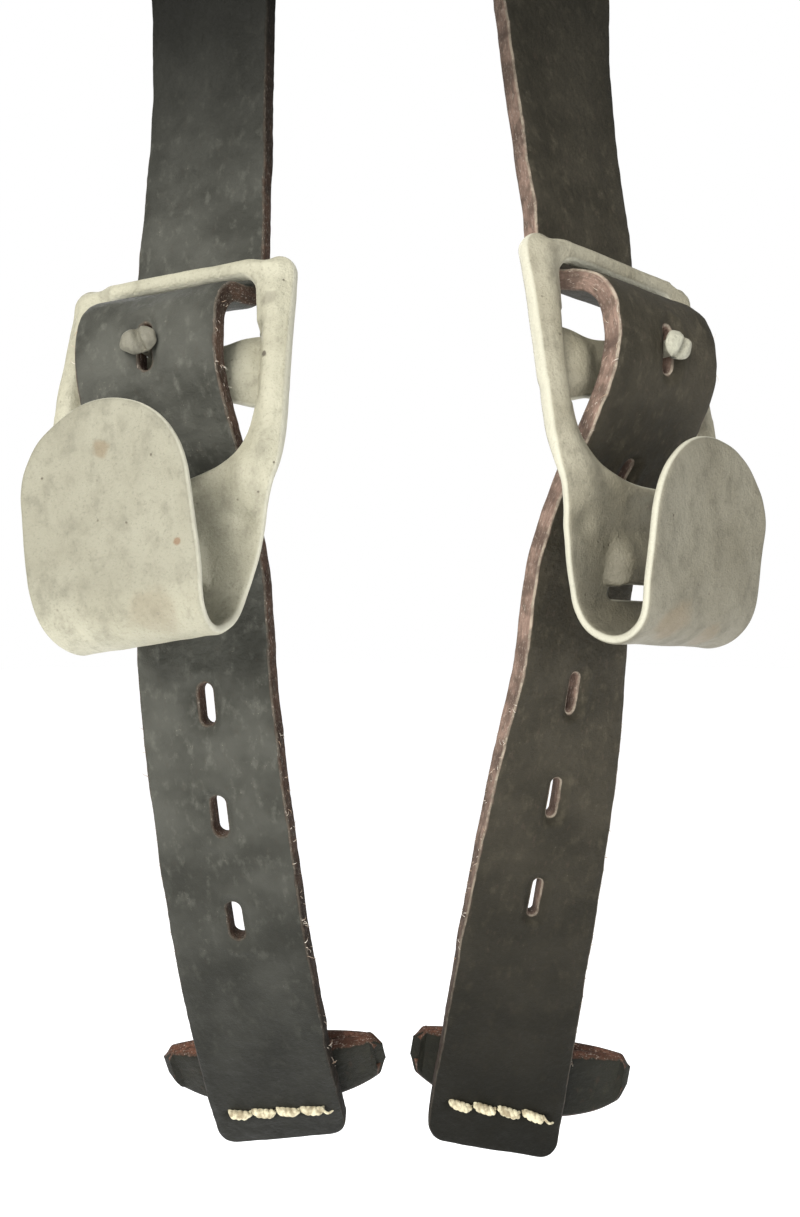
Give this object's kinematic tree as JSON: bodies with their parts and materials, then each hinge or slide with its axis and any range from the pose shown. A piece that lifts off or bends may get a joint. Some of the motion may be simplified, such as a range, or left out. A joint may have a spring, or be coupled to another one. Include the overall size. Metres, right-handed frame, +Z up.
{
  "type": "harness strap hooks",
  "caption": "Pair of leather harness straps with slots, each threaded through a painted steel hook with a stud and sewn to a leather keeper, hung from one steel ring",
  "frame": {"origin": "middle of the ring's top bar, where the pair is held", "axes": "+Z up along the hanging straps, -Y the face the hooks show, +X across the pair to the right seen from the front"},
  "size_m": [0.117, 0.0551, 0.287],
  "materials": {
    "ring_steel": "worn plain steel wire",
    "leather_dark": "black-brown harness leather with dry grain and bare brown cut edges",
    "keeper_leather": "black leather loop with brown cut edges",
    "thread": "waxed cream linen thread",
    "hook_paint": "old grey-cream paint with stains, pits and rust specks",
    "stud_paint": "worn grey-cream paint over steel"
  },
  "bodies": {
    "ring": {"top_ring": "ring_steel"},
    "upper_left": {"strap_upper_left": "leather_dark", "loop_stitches_left": "thread"},
    "hook_unit_left": {"strap_wrap_left": "leather_dark", "hook_left": "hook_paint", "stud_left": "stud_paint"},
    "tail_left": {"strap_tail_left": "leather_dark", "keeper_left": "keeper_leather", "keeper_stitches_left": "thread"},
    "upper_right": {"strap_upper_right": "leather_dark", "loop_stitches_right": "thread"},
    "hook_unit_right": {"strap_wrap_right": "leather_dark", "hook_right": "hook_paint", "stud_right": "stud_paint"},
    "tail_right": {"strap_tail_right": "leather_dark", "keeper_right": "keeper_leather", "keeper_stitches_right": "thread"}
  },
  "joints": [
    {"name": "swing_left", "type": "hinge", "parent": "ring", "child": "upper_left", "pos_m": [-0.0335, 0, -0.022], "axis": [1, 0, 0], "range_deg": [-80, 80]},
    {"name": "strap_bend_left", "type": "hinge", "parent": "upper_left", "child": "hook_unit_left", "pos_m": [-0.03504, 0.00038, -0.11794], "axis": [-0.9645, 0.2598, -0.0474], "range_deg": [0, 45], "stiffness_Nm_per_rad": 0.35},
    {"name": "tail_bend_left", "type": "hinge", "parent": "hook_unit_left", "child": "tail_left", "pos_m": [-0.03273, -0.00799, -0.19013], "axis": [-0.9587, 0.2718, -0.0841], "range_deg": [0, 60], "stiffness_Nm_per_rad": 0.2},
    {"name": "swing_right", "type": "hinge", "parent": "ring", "child": "upper_right", "pos_m": [0.026, 0, -0.022], "axis": [1, 0, 0], "range_deg": [-80, 80]},
    {"name": "strap_bend_right", "type": "hinge", "parent": "upper_right", "child": "hook_unit_right", "pos_m": [0.03123, -0.00328, -0.11598], "axis": [-0.8065, -0.5908, 0.0227], "range_deg": [0, 45], "stiffness_Nm_per_rad": 0.35},
    {"name": "tail_bend_right", "type": "hinge", "parent": "hook_unit_right", "child": "tail_right", "pos_m": [0.03, -0.00437, -0.18867], "axis": [-0.803, -0.5959, 0.0072], "range_deg": [0, 60], "stiffness_Nm_per_rad": 0.2}
  ]
}
